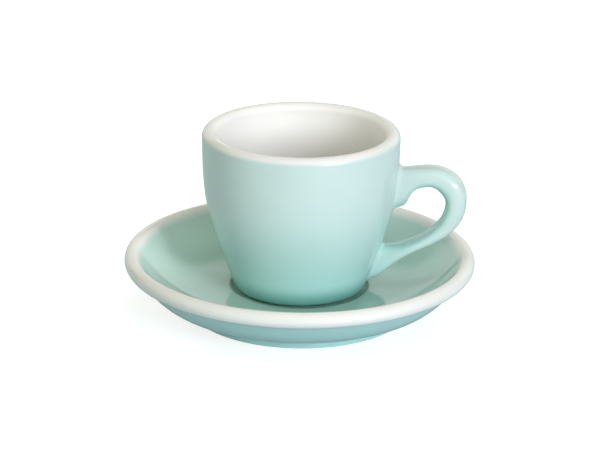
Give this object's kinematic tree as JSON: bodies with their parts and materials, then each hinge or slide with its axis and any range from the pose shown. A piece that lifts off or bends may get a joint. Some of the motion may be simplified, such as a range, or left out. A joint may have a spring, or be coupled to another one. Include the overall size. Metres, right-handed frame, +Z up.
{
  "type": "espresso cup with saucer",
  "caption": "Thick-walled espresso cup with a looped ear handle, white inside and mint outside, standing in the sunk seat of a deep saucer with a rolled white rim.",
  "frame": {"origin": "on the table, under the centre of the saucer's foot ring", "axes": "+Z up along the cup's and the saucer's common axis, +X towards the handle"},
  "size_m": [0.115, 0.115, 0.0618],
  "materials": {
    "clay": "matte fired white clay",
    "white_glaze": "gloss white glaze",
    "mint_glaze": "gloss mint glaze"
  },
  "bodies": {
    "saucer": {"saucer_body": "clay", "saucer_rim_glaze": "white_glaze", "saucer_well_glaze": "mint_glaze", "saucer_foot_glaze": "mint_glaze"},
    "cup": {"cup_body": "clay", "cup_liner_glaze": "white_glaze", "cup_outer_glaze": "mint_glaze", "cup_handle": "mint_glaze"}
  },
  "joints": [
    {"name": "cup_lift", "type": "slide", "parent": "saucer", "child": "cup", "axis": [0, 0, 1], "range_m": [0, 0.06]}
  ]
}
